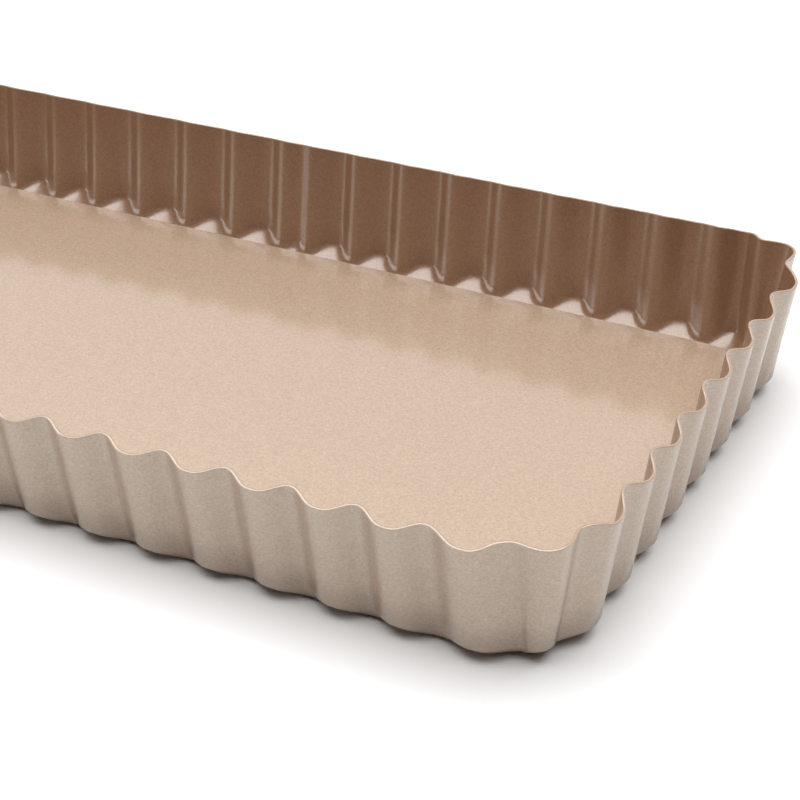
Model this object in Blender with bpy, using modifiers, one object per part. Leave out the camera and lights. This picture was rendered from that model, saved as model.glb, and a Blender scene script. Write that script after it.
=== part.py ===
"""Rectangular fluted tart pan with a loose bottom, in metres, +Z up.

The origin is on the surface that the pan stands on, under the middle of the pan.
X runs along the long sides and Y along the short ends. The pan is two pressed sheets:
the fluted frame, whose wall turns in at its foot to a flat ledge round a large window,
and the loose bottom, a flat plate that lies on the ledge and lifts out upwards.
"""

import math

import bmesh
import bpy
from mathutils import Matrix

MM = 0.001

# Driving dimensions
PAN_LENGTH = 356 * MM  # over the outward lobes at the rim
PAN_WIDTH = 130 * MM
WALL_HEIGHT = 26 * MM  # mean height of the wavy rim
RIM_WAVE = 1.1 * MM  # how much higher the rim stands at a crest than at a lobe
DRAFT_RUN = 4.0 * MM  # how far the wall leans in from its rim to its foot
SHEET = 0.6 * MM
BOTTOM_SHEET = 0.8 * MM
FIT_GAP = 0.3 * MM  # between the loose bottom and the frame

# Flutes: a crest is where the wall is furthest in, a lobe where it is furthest out
CREST_DEPTH = 2.4 * MM
NARROW_LOBE_DEPTH = 1.4 * MM  # depth of the narrow lobe, measured like a crest's
END_CREST_DEPTH = 4.2 * MM
CORNER_DEPTH = 3.9 * MM
END_CREST_SETBACK = 12.0 * MM  # from the end crest to the outside of the next side
END_LOBE_WIDTH = 15.1 * MM  # between the end crest and the first regular crest
RIM_CORNER_RADIUS = 4.6 * MM
FOOT_CORNER_RADIUS = 3.1 * MM
LOBE_FULLNESS = 1.4  # above 1, the lobes are wider than the crests
# (number of flutes, pitch) along a side, from its +X or +Y end; the lobe that is left
# before the last end crest takes the rest of the side
LONG_FLUTES = (
    (6, 12.58 * MM),
    (6, 12.15 * MM),
    (4, 13.35 * MM),
    (1, 6.8 * MM),
    (8, 12.24 * MM),
)
SHORT_FLUTES = ((6, 12.63 * MM),)
NARROW_PITCH = 9.0 * MM  # a flute under this pitch is narrow, and shallow

# Foot of the wall, ledge and loose bottom
LEDGE_SETBACK = 8.2 * MM  # where the ledge turns flat, from the outside at the rim
LEDGE_CORNER_RADIUS = 14.0 * MM
WINDOW_SETBACK = 14.5 * MM
WINDOW_CORNER_RADIUS = 8.0 * MM
COVE_RISE = 1.15  # height of the cove over its run
COVE_FLATNESS = 0.5  # 0 is a round cove, 1 a straight slope
BOTTOM_SETBACK = 7.8 * MM
BOTTOM_CORNER_RADIUS = 14.4 * MM

# Fineness
FLUTE_STEPS = 6
CORNER_STEPS = 6
COVE_STEPS = 3
CURVE_STEPS = 8

MERGE_DISTANCE = 0.0001


def clear_scene():
    """Remove every object of the startup scene."""
    for old in list(bpy.data.objects):
        bpy.data.objects.remove(old, do_unlink=True)


def new_collection(name):
    """Add a collection to the scene and return it."""
    collection = bpy.data.collections.new(name)
    bpy.context.scene.collection.children.link(collection)
    return collection


def coated_steel(name, color, roughness):
    """A non-stick coating on thin steel, which still looks metallic."""
    material = bpy.data.materials.new(name)
    material.use_nodes = True
    shader = material.node_tree.nodes["Principled BSDF"]
    shader.inputs["Base Color"].default_value = (*color, 1)
    shader.inputs["Roughness"].default_value = roughness
    shader.inputs["Metallic"].default_value = 0.75
    return material


def turning_points(half_side, flutes):
    """(place, depth) of each crest and lobe of a side, from its +X or +Y end down."""
    corner = half_side - CORNER_DEPTH - RIM_CORNER_RADIUS
    end_crest = half_side - END_CREST_SETBACK
    place = end_crest - END_LOBE_WIDTH
    points = [(corner, CORNER_DEPTH), (end_crest, END_CREST_DEPTH)]
    points += [((end_crest + place) / 2, 0.0), (place, CREST_DEPTH)]
    for count, pitch in flutes:
        lobe_depth = NARROW_LOBE_DEPTH if pitch < NARROW_PITCH else 0.0
        for _ in range(count):
            points.append((place - pitch / 2, lobe_depth))
            place -= pitch
            points.append((place, CREST_DEPTH))
    points.append(((place - end_crest) / 2, 0.0))
    points += [(-end_crest, END_CREST_DEPTH), (-corner, CORNER_DEPTH)]
    return points


def side_stations(points):
    """(place, depth) along a side: a smooth wave through its turning points."""
    stations = [points[0]]
    for (start, depth_a), (end, depth_b) in zip(points, points[1:]):
        steps = max(1, round(FLUTE_STEPS / 2 * min(1, abs(end - start) / (5 * MM))))
        for step in range(1, steps + 1):
            part = step / steps
            lift = (1 - math.cos(math.pi * part)) / 2
            share = lift if depth_b > depth_a else 1 - lift
            low, high = min(depth_a, depth_b), max(depth_a, depth_b)
            depth = low + (high - low) * share**LOBE_FULLNESS
            stations.append((start + (end - start) * part, depth))
    return stations


def foot_place(place, half_side):
    """Where a station of a side meets the foot. Only the corner lobes draw together."""
    end_crest = half_side - END_CREST_SETBACK
    rim_corner = half_side - CORNER_DEPTH - RIM_CORNER_RADIUS
    foot_corner = half_side - DRAFT_RUN - CORNER_DEPTH - FOOT_CORNER_RADIUS
    past = max(0.0, abs(place) - end_crest)
    drawn_in = past * (rim_corner - foot_corner) / (rim_corner - end_crest)
    return math.copysign(abs(place) - drawn_in, place)


def corner_points(side_x, turn):
    """(rim, foot) of a corner lobe at an angle from +X, in the -Y half of the pan."""
    ends = []
    for setback, radius in ((0.0, RIM_CORNER_RADIUS), (DRAFT_RUN, FOOT_CORNER_RADIUS)):
        x = PAN_LENGTH / 2 - setback - CORNER_DEPTH - radius
        y = PAN_WIDTH / 2 - setback - CORNER_DEPTH - radius
        ends.append((side_x * x + radius * math.cos(turn), -y + radius * math.sin(turn)))
    return ends


def half_ring():
    """(rim, foot, depth) round half of the pan: its +X end, then its -Y side.

    The other half is the same, turned half round. Rim and foot are points in plan.
    """
    half_x, half_y = PAN_LENGTH / 2, PAN_WIDTH / 2
    ring = []
    for y, depth in side_stations(turning_points(half_y, SHORT_FLUTES)):
        rim = (half_x - depth, y)
        foot = (half_x - DRAFT_RUN - depth, foot_place(y, half_y))
        ring.append((rim, foot, depth))
    for step in range(1, CORNER_STEPS):
        turn = -math.pi / 2 * step / CORNER_STEPS
        ring.append((*corner_points(1, turn), CORNER_DEPTH))
    for x, depth in side_stations(turning_points(half_x, LONG_FLUTES)):
        rim = (x, depth - half_y)
        foot = (foot_place(x, half_x), DRAFT_RUN + depth - half_y)
        ring.append((rim, foot, depth))
    for step in range(1, CORNER_STEPS + 1):
        turn = -math.pi / 2 * (1 + step / CORNER_STEPS)
        ring.append((*corner_points(-1, turn), CORNER_DEPTH))
    return ring


def wall_point(station, height):
    """A point of the wall's outer face, on the line from its foot to its rim."""
    rim, foot, depth = station
    share = height / WALL_HEIGHT
    x, y = (low + (high - low) * share for low, high in zip(foot, rim))
    return x, y, height


def nearest_on_outline(point, setback, corner_radius):
    """The nearest point, at the foot, of a plain rounded rectangle inside the pan."""
    corner_x = PAN_LENGTH / 2 - setback - corner_radius
    corner_y = PAN_WIDTH / 2 - setback - corner_radius
    x, y = abs(point[0]), abs(point[1])
    if x <= corner_x:
        y = corner_y + corner_radius
    elif y <= corner_y:
        x = corner_x + corner_radius
    else:
        reach = math.hypot(x - corner_x, y - corner_y)
        x = corner_x + corner_radius * (x - corner_x) / reach
        y = corner_y + corner_radius * (y - corner_y) / reach
    return math.copysign(x, point[0]), math.copysign(y, point[1]), 0.0


def rim_height(station):
    """The rim stands higher at the crests, where the sheet runs a shorter way."""
    depth = min(station[2], CREST_DEPTH)
    return WALL_HEIGHT + RIM_WAVE * (depth / CREST_DEPTH - 0.5)


def frame_profile(station):
    """Points of one section through the frame: rim, wall, cove, ledge, window edge."""
    foot = wall_point(station, 0.0)
    flat = nearest_on_outline(foot, LEDGE_SETBACK, LEDGE_CORNER_RADIUS)
    run = math.dist(foot, flat)
    cove_top = wall_point(station, COVE_RISE * run)
    points = [wall_point(station, rim_height(station))]
    for step in range(COVE_STEPS + 1):
        t = step / COVE_STEPS
        bend = 2 * t * (1 - t) * (1 - COVE_FLATNESS)
        weights = (1 - t - bend / 2, bend, t - bend / 2)
        corners = zip(cove_top, foot, flat)
        points.append([sum(w * c for w, c in zip(weights, axis)) for axis in corners])
    points.append(nearest_on_outline(flat, WINDOW_SETBACK, WINDOW_CORNER_RADIUS))
    return points


def fluted_frame(material, collection):
    """The fluted wall and its ledge: half of its outer face, copied, made solid.

    The face is a loft from the fluted rim to the plain window edge. The second half is
    the first one turned half round, because opposite flutes aren't mirror images.
    """
    mesh = bpy.data.meshes.new("fluted_frame")
    shape = bmesh.new()
    rows = [
        [shape.verts.new(point) for point in frame_profile(station)]
        for station in half_ring()
    ]
    for row, after in zip(rows, rows[1:]):
        for step in range(len(row) - 1):
            shape.faces.new(
                (row[step], after[step], after[step + 1], row[step + 1])
            )
    half = shape.verts[:] + shape.edges[:] + shape.faces[:]
    copied = bmesh.ops.duplicate(shape, geom=half)["geom"]
    copied_points = [item for item in copied if isinstance(item, bmesh.types.BMVert)]
    half_turn = Matrix.Rotation(math.pi, 3, "Z")
    bmesh.ops.rotate(shape, verts=copied_points, matrix=half_turn)
    bmesh.ops.remove_doubles(shape, verts=shape.verts, dist=MERGE_DISTANCE)
    shape.to_mesh(mesh)
    shape.free()
    frame = bpy.data.objects.new("fluted_frame", mesh)
    collection.objects.link(frame)
    solidify = frame.modifiers.new("Solidify", "SOLIDIFY")
    solidify.thickness = SHEET
    solidify.offset = -1
    solidify.use_even_offset = True
    mesh.materials.append(material)
    mesh.shade_smooth()
    return frame


def loose_bottom(material, collection):
    """The flat plate on the ledge, with its origin on its own slide axis."""
    mesh = bpy.data.meshes.new("loose_bottom")
    shape = bmesh.new()
    bmesh.ops.create_cube(shape, size=1)
    size = (
        PAN_LENGTH - 2 * BOTTOM_SETBACK,
        PAN_WIDTH - 2 * BOTTOM_SETBACK,
        BOTTOM_SHEET,
    )
    bmesh.ops.scale(shape, vec=size, verts=shape.verts)
    bmesh.ops.translate(shape, vec=(0, 0, BOTTOM_SHEET / 2), verts=shape.verts)
    upright = [
        edge
        for edge in shape.edges
        if abs(edge.verts[0].co.z - edge.verts[1].co.z) > BOTTOM_SHEET / 2
    ]
    bmesh.ops.bevel(
        shape,
        geom=upright,
        offset=BOTTOM_CORNER_RADIUS,
        offset_type="OFFSET",
        segments=CURVE_STEPS,
        profile=0.5,
        affect="EDGES",
    )
    shape.to_mesh(mesh)
    shape.free()
    plate = bpy.data.objects.new("loose_bottom", mesh)
    plate.location = (0, 0, SHEET + FIT_GAP)
    collection.objects.link(plate)
    mesh.materials.append(material)
    return plate


def main():
    clear_scene()
    pan = new_collection("tart_pan")
    wall_coating = coated_steel("champagne_wall", (0.45, 0.35, 0.28), 0.42)
    bottom_coating = coated_steel("champagne_bottom", (0.62, 0.5, 0.4), 0.4)
    frame = fluted_frame(wall_coating, pan)
    plate = loose_bottom(bottom_coating, pan)
    plate.parent = frame


main()
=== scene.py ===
"""Rectangular fluted tart pan with a loose bottom, laid out as an add-on.

Metres, +Z up. The origin is on the standing surface, under the middle of the pan. The
long sides run along X. The fluted frame carries the loose bottom on its inner ledge.
"""
import math

import bmesh
import bpy
from mathutils import Matrix, Vector


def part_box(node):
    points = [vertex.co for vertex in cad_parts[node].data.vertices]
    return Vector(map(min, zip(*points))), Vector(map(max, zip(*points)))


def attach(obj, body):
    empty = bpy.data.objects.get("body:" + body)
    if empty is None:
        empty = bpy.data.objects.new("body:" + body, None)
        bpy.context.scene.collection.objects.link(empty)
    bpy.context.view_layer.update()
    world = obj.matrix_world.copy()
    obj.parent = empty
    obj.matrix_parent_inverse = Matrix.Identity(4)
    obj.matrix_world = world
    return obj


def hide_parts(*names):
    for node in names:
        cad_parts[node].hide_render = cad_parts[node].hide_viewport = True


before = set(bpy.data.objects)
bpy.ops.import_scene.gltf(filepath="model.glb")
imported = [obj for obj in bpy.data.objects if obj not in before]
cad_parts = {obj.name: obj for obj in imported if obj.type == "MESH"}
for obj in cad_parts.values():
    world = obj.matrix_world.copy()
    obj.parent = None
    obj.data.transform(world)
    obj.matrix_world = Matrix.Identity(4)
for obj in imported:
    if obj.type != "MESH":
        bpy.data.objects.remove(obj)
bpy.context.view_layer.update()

bl_info = {
    "name": "Fluted tart pan",
    "version": (1, 0, 0),
    "blender": (4, 5, 0),
    "location": "3D View > Sidebar > Tart Pan",
    "description": "Builds a rectangular fluted tart pan with a loose bottom",
    "category": "Add Mesh",
}

FRAME_LOW, FRAME_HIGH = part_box("fluted_frame")
PLATE_LOW, PLATE_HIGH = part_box("loose_bottom")
MM = 0.001

# Flutes: a crest is where the wall is furthest in, a lobe where it is furthest out.
# A depth is measured inwards from the pan's outer box.
RIM_WAVE = 1.1 * MM  # the rim is highest at the crests
CREST_DEPTH = 2.4 * MM
NARROW_LOBE_DEPTH = 1.4 * MM
END_CREST_DEPTH = 4.2 * MM  # the crest next to each corner lobe
CORNER_DEPTH = 3.9 * MM
END_CREST_SETBACK = 12.0 * MM
END_LOBE_WIDTH = 15.1 * MM
RIM_CORNER_RADIUS = 4.6 * MM
FOOT_CORNER_RADIUS = 3.1 * MM
LOBE_FULLNESS = 1.4  # 1 makes lobes and crests alike
# (number of flutes, pitch) along a side, from its +X or +Y end
LONG_FLUTES = (
    (6, 12.58 * MM),
    (6, 12.15 * MM),
    (4, 13.35 * MM),
    (1, 6.8 * MM),
    (8, 12.24 * MM),
)
SHORT_FLUTES = ((6, 12.63 * MM),)
NARROW_PITCH = 9.0 * MM  # a flute under this pitch has a shallow lobe
COLUMN_SPACING = 0.8 * MM
CORNER_COLUMNS = 12

# Section of the sheet, from the window up to the rim
DRAFT_RUN = 4.0 * MM  # how far the wall leans out over its height
LEDGE_SETBACK = 8.2 * MM
LEDGE_CORNER_RADIUS = 14.0 * MM
LEDGE_WIDTH = 6.3 * MM
MODEL_RUN = 4.0 * MM  # width of the cove in the model section
COVE_RISE = 0.9  # height of the cove, in widths
COVE_FLATNESS = 0.64  # 1 is a straight slope, 0 a full curve
COVE_GROWTH = 0.15  # 0 keeps all coves equally high, 1 makes height follow width
COVE_STEPS = 8
EDGE_SUPPORT = 0.45 * MM  # a row this close to a raw edge keeps its rounding narrow
WALL_ROWS = (10 * MM, 18 * MM)  # heights of the rows between cove and rim
WELD_GAP = 0.05 * MM
EDGE_ROUNDING = 0.18 * MM
EDGE_SEGMENTS = 2
FRAME_SMOOTHING = math.radians(50)

# Loose bottom
PLATE_CORNER_RADIUS = 14.4 * MM
PLATE_CORNER_SEGMENTS = 24
PLATE_EDGE_ROUNDING = 0.3 * MM
PLATE_EDGE_SEGMENTS = 3
PLATE_SMOOTHING = math.radians(40)

# Edges that turn by more than this are rounded, on both pieces
ROUNDED_FROM = math.radians(60)

# Coating: a pigmented film with metal flakes, under a clear coat
GRAIN_SCALE = 2600.0
FLAKE_SCALE = 3300.0
CLOUD_SCALE = 45.0
GRAIN_SHARE = 0.7
FLAKE_SHARE = 0.3
SPECKLE_DARK = 0.68
SPECKLE_LIGHT = 1.32
PEEL_FLAKES = 0.4
PEEL_STRENGTH = 0.10
PEEL_DEPTH = 0.06 * MM
METALLIC = 0.12
FILM_IOR = 1.45
COAT_IOR = 1.95
FRAME_ROUGHNESS = 0.34
FRAME_COAT_ROUGHNESS = 0.22
BOTTOM_ROUGHNESS = 0.32
BOTTOM_COAT_ROUGHNESS = 0.16
CLOUD_ROUGHNESS = 0.05
GRAIN_ROUGHNESS = 0.07

# Marks on the frame's coating: painted shade that makes the inner side and the foot
# darker and browner, and a worn rim
INNER_SIDE = "inner_side"
# Painted shade at the foot of the wall: the coating is coloured darker towards the table
FOOT_SHADE_REACH = 11.0 * MM  # how far up it reaches
FOOT_SHADE_AMOUNT = 0.6
FOOT_SHADE = 0.7
WORN_FROM = 0.965  # on the way from the window, 0, to the rim, 1
WORN_RAGGEDNESS = 0.02
WORN_AMOUNT = 0.3
WORN_SHADE = 1.25
WORN_POLISH = 0.06

# Table
TABLE_SIZE = 2.4
TABLE_GRAIN_SCALE = 900.0
TABLE_GRAIN = 0.01
TABLE_ROUGHNESS = 0.7

# Camera, with its angles seen from the pan
CAMERA_PLACE = Vector((0.26775, -0.28626, 0.19996))
CAMERA_AZIMUTH = math.radians(28.4)
CAMERA_ELEVATION = math.radians(30.71)
CAMERA_ROLL = math.radians(-1.16)
CAMERA_LENS = 85.9
CAMERA_SENSOR = 36.0
CAMERA_CLIP = (0.01, 20.0)

# (name, place, width, height, power) of the lights, which all face the pan
SOFTBOXES = (
    ("top_softbox", (0.08, 0.0, 1.6), 2.1, 2.4, 57.0),
    ("left_softbox", (-1.4, -0.58, 0.42), 0.9, 0.4, 2.4),
)

# Studio air: its light in front of and behind the pan, and where it turns from one
# to the other, as cosines to the camera's level line of sight
AIR_FRONT = 0.03
AIR_BACK = 0.95
AIR_TURN = (0.2, 0.8)


class TartPanSizes(bpy.types.PropertyGroup):
    """Sizes that a baker would choose between."""

    length: bpy.props.FloatProperty(
        name="Length",
        description="Outside length over the rim",
        default=FRAME_HIGH[0] - FRAME_LOW[0],
        unit="LENGTH",
    )
    width: bpy.props.FloatProperty(
        name="Width",
        description="Outside width over the rim",
        default=FRAME_HIGH[1] - FRAME_LOW[1],
        unit="LENGTH",
    )
    height: bpy.props.FloatProperty(
        name="Height",
        description="Height of the wall, to the middle of the wavy rim",
        default=FRAME_HIGH[2] - RIM_WAVE / 2,
        unit="LENGTH",
    )
    sheet: bpy.props.FloatProperty(
        name="Frame sheet",
        description="Thickness of the frame's steel sheet",
        default=0.6 * MM,
        unit="LENGTH",
    )


class TartPanFinish(bpy.types.PropertyGroup):
    """Colours of the coated steel, with a painted shade for the frame's inner side, and
    of the stage.
    """

    frame_color: bpy.props.FloatVectorProperty(
        name="Frame coating",
        description="Champagne non-stick coating of the fluted frame",
        default=(0.42, 0.315, 0.228),
        subtype="COLOR",
        size=3,
        min=0.0,
        max=1.0,
    )
    # Painted shade: the frame's inner side gets a darker, browner copy of the same
    # coating, standing in for the shade inside the pan
    shaded_inside_color: bpy.props.FloatVectorProperty(
        name="Frame coating inside",
        description="Browner coating on the inner side of the fluted frame",
        default=(0.275, 0.152, 0.087),
        subtype="COLOR",
        size=3,
        min=0.0,
        max=1.0,
    )
    bottom_color: bpy.props.FloatVectorProperty(
        name="Bottom coating",
        description="Champagne non-stick coating of the loose bottom",
        default=(0.43, 0.315, 0.226),
        subtype="COLOR",
        size=3,
        min=0.0,
        max=1.0,
    )
    table_color: bpy.props.FloatVectorProperty(
        name="Table",
        description="Plain pale table under the pan",
        default=(0.86, 0.86, 0.86),
        subtype="COLOR",
        size=3,
        min=0.0,
        max=1.0,
    )


class Wire:
    """A node tree's socket. Sums, differences and products of wires add Math nodes."""

    def __init__(self, tree, socket=None):
        self.tree = tree
        self.socket = socket

    def node(self, kind, settings, values, output=0):
        """Adds a node: its settings first, then the value or the link of each socket."""
        made = self.tree.nodes.new(kind)
        for name, value in settings.items():
            setattr(made, name, value)
        for key, value in values.items():
            if isinstance(value, Wire):
                self.tree.links.new(value.socket, made.inputs[key])
            else:
                made.inputs[key].default_value = value
        return Wire(self.tree, made.outputs[output] if made.outputs else None)

    def math(self, operation, first, second):
        return self.node(
            "ShaderNodeMath", {"operation": operation}, {0: first, 1: second}
        )

    def __add__(self, other):
        return self.math("ADD", self, other)

    __radd__ = __add__

    def __sub__(self, other):
        return self.math("SUBTRACT", self, other)

    def __rsub__(self, other):
        return self.math("SUBTRACT", other, self)

    def __mul__(self, other):
        return self.math("MULTIPLY", self, other)

    __rmul__ = __mul__


def blend_colors(mask, low, high):
    """Goes from one colour to another by a mask: sockets 6 and 7 of a Mix node."""
    return mask.node(
        "ShaderNodeMix", {"data_type": "RGBA"}, {0: mask, 6: low, 7: high}, output=2
    )


def fade(value, start, end, low=0.0, high=1.0, kind="LINEAR"):
    """Goes from low to high as the value goes from start to end, and stays there."""
    return value.node(
        "ShaderNodeMapRange",
        {"interpolation_type": kind},
        {0: value, 1: start, 2: end, 3: low, 4: high},
    )


def shade_of(color, factor):
    return tuple(min(1.0, part * factor) for part in color) + (1.0,)


def speckled(mask, color):
    return blend_colors(
        mask, shade_of(color, SPECKLE_DARK), shade_of(color, SPECKLE_LIGHT)
    )


def new_material(name):
    material = bpy.data.materials.new(name)
    material.use_nodes = True
    material.node_tree.nodes.clear()
    return material, Wire(material.node_tree)


def noise(place, scale, detail=2.0):
    return place.node(
        "ShaderNodeTexNoise", {}, {"Vector": place, "Scale": scale, "Detail": detail}
    )


def foot_shade_mask(place):
    """Painted shade at the foot of the wall: strongest on the table, and gone where the
    foot of the flutes ends.
    """
    height = place.node("ShaderNodeSeparateXYZ", {}, {0: place}, output="Z")
    return fade(height, 0.0, FOOT_SHADE_REACH, FOOT_SHADE_AMOUNT, 0.0, "SMOOTHSTEP")


def worn_rim_mask(clouds):
    """Along the raw edge, by the grid's own UV map, whose V runs up the section."""
    along = clouds.node("ShaderNodeUVMap", {"uv_map": "UVMap"}, {})
    way_up = clouds.node("ShaderNodeSeparateXYZ", {}, {0: along}, output="Y")
    return fade(way_up + clouds * WORN_RAGGEDNESS, WORN_FROM, 1.0)


def coating_material(name, color, roughness, coat_roughness, shaded_inside_color=None):
    """Champagne non-stick coating. Only the frame has painted shade, on its inner side
    and foot, and a worn rim.
    """
    material, wire = new_material(name)
    place = wire.node("ShaderNodeTexCoord", {}, {}, output="Object")
    grain = noise(place, GRAIN_SCALE)
    flakes = wire.node(
        "ShaderNodeTexVoronoi",
        {},
        {"Vector": place, "Scale": FLAKE_SCALE},
        output="Color",
    )
    flake = wire.node("ShaderNodeSeparateColor", {}, {0: flakes})
    clouds = noise(place, CLOUD_SCALE, detail=3.0)
    speckle = grain * GRAIN_SHARE + flake * FLAKE_SHARE
    body = speckled(speckle, color)
    film = roughness + clouds * CLOUD_ROUGHNESS + grain * GRAIN_ROUGHNESS
    if shaded_inside_color:
        # Painted shade: the wall is coloured darker and browner towards the table
        foot_shade_color = shade_of(shaded_inside_color, FOOT_SHADE)
        body = blend_colors(foot_shade_mask(place), body, foot_shade_color)
        # Painted shade: the inner side takes the darker, browner colour all over
        inner = wire.node(
            "ShaderNodeAttribute", {"attribute_name": INNER_SIDE}, {}, output="Fac"
        )
        body = blend_colors(inner, body, speckled(speckle, shaded_inside_color))
        worn = worn_rim_mask(clouds)
        body = blend_colors(worn * WORN_AMOUNT, body, shade_of(color, WORN_SHADE))
        film = film - worn * WORN_POLISH
    peel = wire.node(
        "ShaderNodeBump",
        {},
        {
            "Strength": PEEL_STRENGTH,
            "Distance": PEEL_DEPTH,
            "Height": grain + flake * PEEL_FLAKES,
        },
    )
    shader = wire.node(
        "ShaderNodeBsdfPrincipled",
        {},
        {
            "Base Color": body,
            "Metallic": METALLIC,
            "Roughness": film,
            "Normal": peel,
            "IOR": FILM_IOR,
            "Specular IOR Level": 0.0,
            "Coat Weight": 1.0,
            "Coat Roughness": coat_roughness,
            "Coat IOR": COAT_IOR,
        },
    )
    wire.node("ShaderNodeOutputMaterial", {}, {0: shader})
    return material


def table_material(color):
    material, wire = new_material("pale_table")
    place = wire.node("ShaderNodeTexCoord", {}, {}, output="Object")
    grain = noise(place, TABLE_GRAIN_SCALE)
    shade = blend_colors(
        grain, shade_of(color, 1 - TABLE_GRAIN), shade_of(color, 1 + TABLE_GRAIN)
    )
    shader = wire.node(
        "ShaderNodeBsdfPrincipled",
        {},
        {"Base Color": shade, "Roughness": TABLE_ROUGHNESS},
    )
    wire.node("ShaderNodeOutputMaterial", {}, {0: shader})
    return material


def turning_points(half_side, flutes):
    """(place, depth) where a side's outline turns, from its +X or +Y end down."""
    corner = half_side - CORNER_DEPTH - RIM_CORNER_RADIUS
    end_crest = half_side - END_CREST_SETBACK
    place = end_crest - END_LOBE_WIDTH
    points = [(corner, CORNER_DEPTH), (end_crest, END_CREST_DEPTH)]
    points += [((end_crest + place) / 2, 0.0), (place, CREST_DEPTH)]
    for count, pitch in flutes:
        lobe_depth = NARROW_LOBE_DEPTH if pitch < NARROW_PITCH else 0.0
        for _ in range(count):
            points.append((place - pitch / 2, lobe_depth))
            place -= pitch
            points.append((place, CREST_DEPTH))
    points.append(((place - end_crest) / 2, 0.0))
    points += [(-end_crest, END_CREST_DEPTH), (-corner, CORNER_DEPTH)]
    return points


def side_stations(points):
    """(place, depth) of a side's columns. The lobes are rounder than the crests."""
    stations = [points[0]]
    for (start, depth_a), (end, depth_b) in zip(points, points[1:]):
        steps = max(2, round(abs(end - start) / COLUMN_SPACING))
        for step in range(1, steps + 1):
            part = step / steps
            lift = (1 - math.cos(math.pi * part)) / 2
            share = lift if depth_b > depth_a else 1 - lift
            low, high = min(depth_a, depth_b), max(depth_a, depth_b)
            depth = low + (high - low) * share**LOBE_FULLNESS
            stations.append((start + (end - start) * part, depth))
    return stations


def foot_place(place, half_side):
    """Where a column of a side meets the foot. Only the corner lobes draw together."""
    end_crest = half_side - END_CREST_SETBACK
    rim_corner = half_side - CORNER_DEPTH - RIM_CORNER_RADIUS
    foot_corner = half_side - DRAFT_RUN - CORNER_DEPTH - FOOT_CORNER_RADIUS
    past = max(0.0, abs(place) - end_crest)
    drawn_in = past * (rim_corner - foot_corner) / (rim_corner - end_crest)
    return math.copysign(abs(place) - drawn_in, place)


def corner_station(sizes, side_x, turn):
    """(rim, foot, depth) of a corner lobe at an angle from +X, in the -Y half."""
    ends = []
    for setback, radius in ((0.0, RIM_CORNER_RADIUS), (DRAFT_RUN, FOOT_CORNER_RADIUS)):
        x = sizes.length / 2 - setback - CORNER_DEPTH - radius
        y = sizes.width / 2 - setback - CORNER_DEPTH - radius
        spread = Vector((math.cos(turn), math.sin(turn), 0.0)) * radius
        ends.append(Vector((side_x * x, -y, 0.0)) + spread)
    return (*ends, CORNER_DEPTH)


def half_ring(sizes):
    """(rim, foot, depth) round half of the pan: its +X end, then its -Y side."""
    half_x, half_y = sizes.length / 2, sizes.width / 2
    ring = []
    for y, depth in side_stations(turning_points(half_y, SHORT_FLUTES)):
        rim = Vector((half_x - depth, y, 0.0))
        foot = Vector((half_x - DRAFT_RUN - depth, foot_place(y, half_y), 0.0))
        ring.append((rim, foot, depth))
    quarter = math.pi / 2
    for step in range(1, CORNER_COLUMNS):
        ring.append(corner_station(sizes, 1, -quarter * step / CORNER_COLUMNS))
    for x, depth in side_stations(turning_points(half_x, LONG_FLUTES)):
        rim = Vector((x, depth - half_y, 0.0))
        foot = Vector((foot_place(x, half_x), DRAFT_RUN + depth - half_y, 0.0))
        ring.append((rim, foot, depth))
    for step in range(1, CORNER_COLUMNS + 1):
        ring.append(corner_station(sizes, -1, -quarter * (1 + step / CORNER_COLUMNS)))
    return ring


def ledge_point(sizes, foot):
    """The nearest point of the ledge's plain outer outline."""
    corner_x = sizes.length / 2 - LEDGE_SETBACK - LEDGE_CORNER_RADIUS
    corner_y = sizes.width / 2 - LEDGE_SETBACK - LEDGE_CORNER_RADIUS
    middle = Vector((
        max(-corner_x, min(corner_x, foot.x)), max(-corner_y, min(corner_y, foot.y)), 0.0
    ))
    return middle + (foot - middle).normalized() * LEDGE_CORNER_RADIUS


def section_rows(height):
    """(kind, distance out, height) up the model section, from the window to the rim."""
    edge = MODEL_RUN + LEDGE_WIDTH
    rows = [("ledge", -edge, 0.0), ("ledge", EDGE_SUPPORT - edge, 0.0)]
    rows.append(("ledge", -MODEL_RUN - LEDGE_WIDTH / 3, 0.0))
    top = COVE_RISE * MODEL_RUN
    lean = DRAFT_RUN / height
    for step in range(COVE_STEPS + 1):
        part = step / COVE_STEPS
        bend = part * (1 - part) * (1 - COVE_FLATNESS)
        out = (part - bend) * top * lean - (1 - part - bend) * MODEL_RUN
        rows.append(("cove", out, (part - bend) * top))
    for level in WALL_ROWS:
        rows.append(("wall", level * lean, level))
    for level in (height - EDGE_SUPPORT, height):
        rows.append(("rim", level * lean, level))
    return rows


def deselect_objects():
    for thing in bpy.context.selected_objects:
        thing.select_set(False)


def edit(thing):
    """Enters edit mode on one object, with nothing selected, and returns its mesh."""
    deselect_objects()
    thing.select_set(True)
    bpy.context.view_layer.objects.active = thing
    bpy.ops.object.mode_set(mode="EDIT")
    bpy.context.tool_settings.mesh_select_mode = (True, False, False)
    bpy.ops.mesh.select_all(action="DESELECT")
    return bmesh.from_edit_mesh(thing.data)


def select_points(points):
    bpy.ops.mesh.select_all(action="DESELECT")
    for point in points:
        point.select_set(True)


def move(points, offset):
    select_points(points)
    bpy.ops.transform.translate(value=offset)


def group_points(points, axis):
    """The points in groups of the same place along an axis, to a micrometre, in order."""
    groups = {}
    for point in points:
        groups.setdefault(round(point.co[axis], 6), []).append(point)
    return [groups[place] for place in sorted(groups)]


def apply_modifier(thing, kind, **settings):
    modifier = thing.modifiers.new(kind.title(), kind)
    for name, value in settings.items():
        setattr(modifier, name, value)
    bpy.context.view_layer.objects.active = thing
    bpy.ops.object.modifier_apply(modifier=modifier.name)


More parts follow.
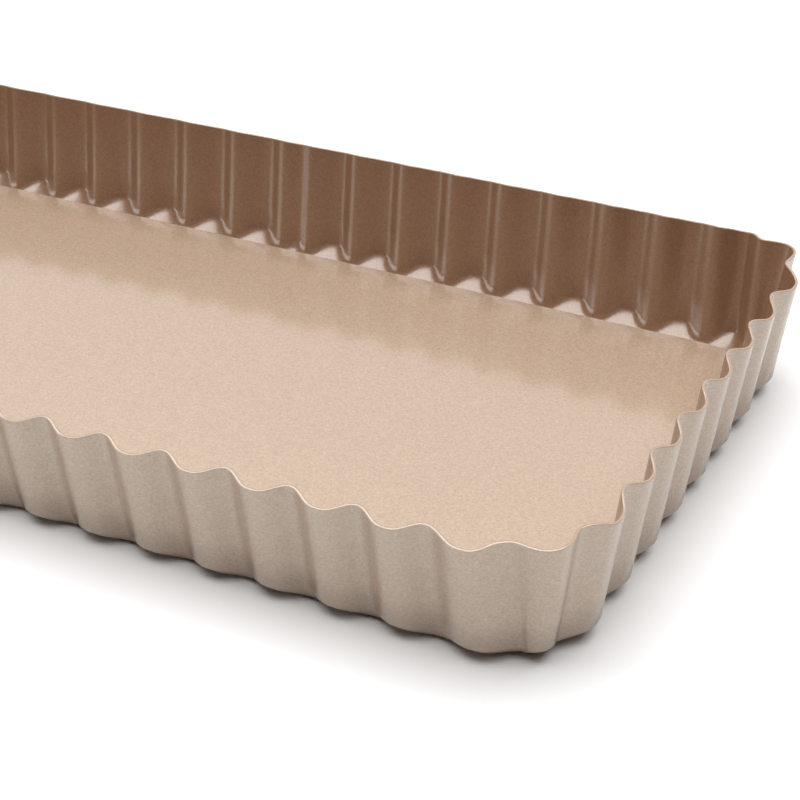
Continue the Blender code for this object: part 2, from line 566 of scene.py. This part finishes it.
def finish_piece(thing, name, material, angle):
    thing.name = thing.data.name = name
    thing.data.materials.clear()
    thing.data.materials.append(material)
    deselect_objects()
    thing.select_set(True)
    bpy.context.view_layer.objects.active = thing
    bpy.ops.object.transform_apply(location=True, rotation=True, scale=True)
    bpy.ops.object.shade_smooth_by_angle(angle=angle)


def turn_points(points, outward, pivot):
    """Turns a column's points about its foot, so that its +Y side faces outwards."""
    angle = math.atan2(-outward.x, outward.y)
    select_points(points)
    bpy.ops.transform.rotate(value=-angle, orient_axis="Z", center_override=pivot)


def carry_column(sizes, column, station):
    """Fits one column of the sheet to its station and carries it there."""
    rim, foot, depth = station
    outward = foot - ledge_point(sizes, foot)
    lean = rim - foot
    pivot = Vector((column["rim"][0].co.x, 0.0, 0.0))
    fit = outward.length / MODEL_RUN
    select_points(column["cove"])
    bpy.ops.transform.resize(
        value=(1.0, fit, fit**COVE_GROWTH), center_override=pivot
    )
    move(column["ledge"], (0.0, MODEL_RUN - outward.length, 0.0))
    move(column["rim"], (0.0, 0.0, RIM_WAVE * (min(depth / CREST_DEPTH, 1.0) - 0.5)))
    upper = column["wall"] + column["rim"]
    select_points(upper)
    spread = lean.length / DRAFT_RUN
    bpy.ops.transform.resize(value=(1.0, spread, 1.0), center_override=pivot)
    turn_points(upper, lean, pivot)
    lower = column["cove"] + column["ledge"]
    turn_points(lower, outward, pivot)
    move(upper + lower, foot - pivot)


def half_sheet(sizes):
    """Half of the frame's sheet: a grid whose columns are sections of the wall."""
    rows = section_rows(sizes.height)
    ring = half_ring(sizes)
    bpy.ops.mesh.primitive_grid_add(
        x_subdivisions=len(ring) - 1, y_subdivisions=len(rows) - 1, size=1.0
    )
    sheet = bpy.context.active_object
    mesh = edit(sheet)
    columns = [{} for _ in ring]
    for (kind, out, height), row in zip(rows, group_points(mesh.verts, 1)):
        move(row, (0.0, out - row[0].co.y, height))
        for column, point in zip(columns, sorted(row, key=lambda point: point.co.x)):
            column.setdefault(kind, []).append(point)
    for column, station in zip(columns, ring):
        carry_column(sizes, column, station)
    return sheet


def close_ring():
    """Adds the other half of the sheet: the same half, turned half round."""
    bpy.ops.mesh.select_all(action="SELECT")
    bpy.ops.mesh.duplicate()
    bpy.ops.transform.rotate(
        value=math.pi, orient_axis="Z", center_override=(0.0, 0.0, 0.0)
    )
    bpy.ops.mesh.select_all(action="SELECT")
    bpy.ops.mesh.remove_doubles(threshold=WELD_GAP)
    bpy.ops.object.mode_set(mode="OBJECT")


class TARTPAN_OT_fluted_frame(bpy.types.Operator):
    """Add the fluted frame: walls, coves and the ledge that carries the bottom"""

    bl_idname = "tartpan.fluted_frame"
    bl_label = "Fluted Frame"

    def execute(self, context):
        sizes = context.scene.tart_pan_sizes
        finish = context.scene.tart_pan_finish
        deselect_objects()
        sheet = half_sheet(sizes)
        close_ring()
        # Solidify carries these points to the inner side, and adds the outer side's after
        inner_points = len(sheet.data.vertices)
        apply_modifier(
            sheet, "SOLIDIFY", thickness=sizes.sheet, offset=1.0, use_even_offset=True
        )
        # Marks the inner side, which the coating paints in a darker shade
        inner = sheet.data.attributes.new(INNER_SIDE, "FLOAT", "POINT")
        for index in range(inner_points):
            inner.data[index].value = 1.0
        apply_modifier(
            sheet,
            "BEVEL",
            width=EDGE_ROUNDING,
            segments=EDGE_SEGMENTS,
            limit_method="ANGLE",
            angle_limit=ROUNDED_FROM,
        )
        coating = coating_material(
            "champagne_frame_coating",
            finish.frame_color,
            FRAME_ROUGHNESS,
            FRAME_COAT_ROUGHNESS,
            shaded_inside_color=finish.shaded_inside_color,
        )
        finish_piece(sheet, "fluted_pan_frame", coating, FRAME_SMOOTHING)
        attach(sheet, "frame")
        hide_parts("fluted_frame")
        return {"FINISHED"}


class TARTPAN_OT_loose_bottom(bpy.types.Operator):
    """Add the loose bottom: a flat plate with rounded corners and edges"""

    bl_idname = "tartpan.loose_bottom"
    bl_label = "Loose Bottom"

    def execute(self, context):
        finish = context.scene.tart_pan_finish
        deselect_objects()
        size = PLATE_HIGH - PLATE_LOW
        bpy.ops.mesh.primitive_cube_add(
            size=1.0, location=(PLATE_HIGH + PLATE_LOW) / 2, scale=size
        )
        plate = bpy.context.active_object
        bpy.ops.object.transform_apply(location=True, rotation=True, scale=True)
        mesh = edit(plate)
        bpy.context.tool_settings.mesh_select_mode = (False, True, False)
        for edge in mesh.edges:
            low, high = sorted(end.co.z for end in edge.verts)
            edge.select_set(high - low > size.z / 2)
        bpy.ops.mesh.bevel(
            offset=PLATE_CORNER_RADIUS,
            segments=PLATE_CORNER_SEGMENTS,
            affect="EDGES",
            profile=0.5,
        )
        bpy.ops.object.mode_set(mode="OBJECT")
        apply_modifier(
            plate,
            "BEVEL",
            width=PLATE_EDGE_ROUNDING,
            segments=PLATE_EDGE_SEGMENTS,
            limit_method="ANGLE",
            angle_limit=ROUNDED_FROM,
        )
        coating = coating_material(
            "champagne_bottom_coating",
            finish.bottom_color,
            BOTTOM_ROUGHNESS,
            BOTTOM_COAT_ROUGHNESS,
        )
        finish_piece(plate, "loose_bottom_plate", coating, PLATE_SMOOTHING)
        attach(plate, "bottom")
        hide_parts("loose_bottom")
        return {"FINISHED"}


def add_camera():
    bpy.ops.object.camera_add(location=CAMERA_PLACE)
    camera = bpy.context.active_object
    camera.name = "view_camera"
    reach = math.cos(CAMERA_ELEVATION)
    back = Vector((
        math.sin(CAMERA_AZIMUTH) * reach,
        -math.cos(CAMERA_AZIMUTH) * reach,
        math.sin(CAMERA_ELEVATION),
    ))
    level = (-back).to_track_quat("-Z", "Y").to_matrix()
    roll = Matrix.Rotation(CAMERA_ROLL, 3, "Z")
    camera.rotation_euler = (level @ roll).to_euler()
    camera.data.sensor_width = CAMERA_SENSOR
    camera.data.lens = CAMERA_LENS
    camera.data.clip_start, camera.data.clip_end = CAMERA_CLIP
    bpy.context.scene.camera = camera


def add_softbox(name, place, width, height, power):
    bpy.ops.object.light_add(type="AREA", location=place)
    light = bpy.context.active_object
    light.name = name
    light.rotation_euler = (-Vector(place)).to_track_quat("-Z", "Y").to_euler()
    light.data.shape = "RECTANGLE"
    light.data.size = width
    light.data.size_y = height
    light.data.energy = power


def studio_air():
    """A white studio that lights the pan from behind, and little from in front."""
    world = bpy.data.worlds.new("studio_air")
    world.use_nodes = True
    world.node_tree.nodes.clear()
    wire = Wire(world.node_tree)
    toward = wire.node("ShaderNodeTexCoord", {}, {}, output="Generated")
    away = (-math.sin(CAMERA_AZIMUTH), math.cos(CAMERA_AZIMUTH), 0.0)
    behind = wire.node(
        "ShaderNodeVectorMath",
        {"operation": "DOT_PRODUCT"},
        {0: toward, 1: away},
        output="Value",
    )
    glow = fade(behind, *AIR_TURN, AIR_FRONT, AIR_BACK, "SMOOTHSTEP")
    seen = wire.node("ShaderNodeLightPath", {}, {}, output="Is Camera Ray")
    light = wire.node(
        "ShaderNodeBackground",
        {},
        {"Color": (1.0, 1.0, 1.0, 1.0), "Strength": glow + seen * (1.0 - glow)},
    )
    wire.node("ShaderNodeOutputWorld", {}, {0: light})
    return world


class TARTPAN_OT_stage(bpy.types.Operator):
    """Add the pale table, the soft studio lights and the camera"""

    bl_idname = "tartpan.stage"
    bl_label = "Stage"

    def execute(self, context):
        finish = context.scene.tart_pan_finish
        deselect_objects()
        bpy.ops.mesh.primitive_plane_add(size=TABLE_SIZE, location=(0.0, 0.0, 0.0))
        table = bpy.context.active_object
        table.name = "pale_table"
        table.data.materials.append(table_material(finish.table_color))
        context.scene.world = studio_air()
        for name, place, width, height, power in SOFTBOXES:
            add_softbox(name, place, width, height, power)
        context.scene.view_settings.view_transform = "Standard"
        context.scene.view_settings.look = "None"
        add_camera()
        return {"FINISHED"}


class TARTPAN_PT_panel(bpy.types.Panel):
    """Sizes, colours and pieces of the tart pan"""

    bl_label = "Tart Pan"
    bl_idname = "TARTPAN_PT_panel"
    bl_space_type = "VIEW_3D"
    bl_region_type = "UI"
    bl_category = "Tart Pan"

    def draw(self, context):
        layout = self.layout
        for group in (context.scene.tart_pan_sizes, context.scene.tart_pan_finish):
            for name in group.__annotations__:
                layout.prop(group, name)
        for operator in OPERATORS:
            layout.operator(operator.bl_idname)


OPERATORS = (TARTPAN_OT_fluted_frame, TARTPAN_OT_loose_bottom, TARTPAN_OT_stage)
CLASSES = (TartPanSizes, TartPanFinish, *OPERATORS, TARTPAN_PT_panel)


def register():
    for kind in CLASSES:
        bpy.utils.register_class(kind)
    bpy.types.Scene.tart_pan_sizes = bpy.props.PointerProperty(type=TartPanSizes)
    bpy.types.Scene.tart_pan_finish = bpy.props.PointerProperty(type=TartPanFinish)


def unregister():
    del bpy.types.Scene.tart_pan_finish
    del bpy.types.Scene.tart_pan_sizes
    for kind in reversed(CLASSES):
        bpy.utils.unregister_class(kind)


def main():
    register()
    bpy.ops.tartpan.fluted_frame()
    bpy.ops.tartpan.loose_bottom()
    bpy.ops.tartpan.stage()


if __name__ == "__main__":
    main()
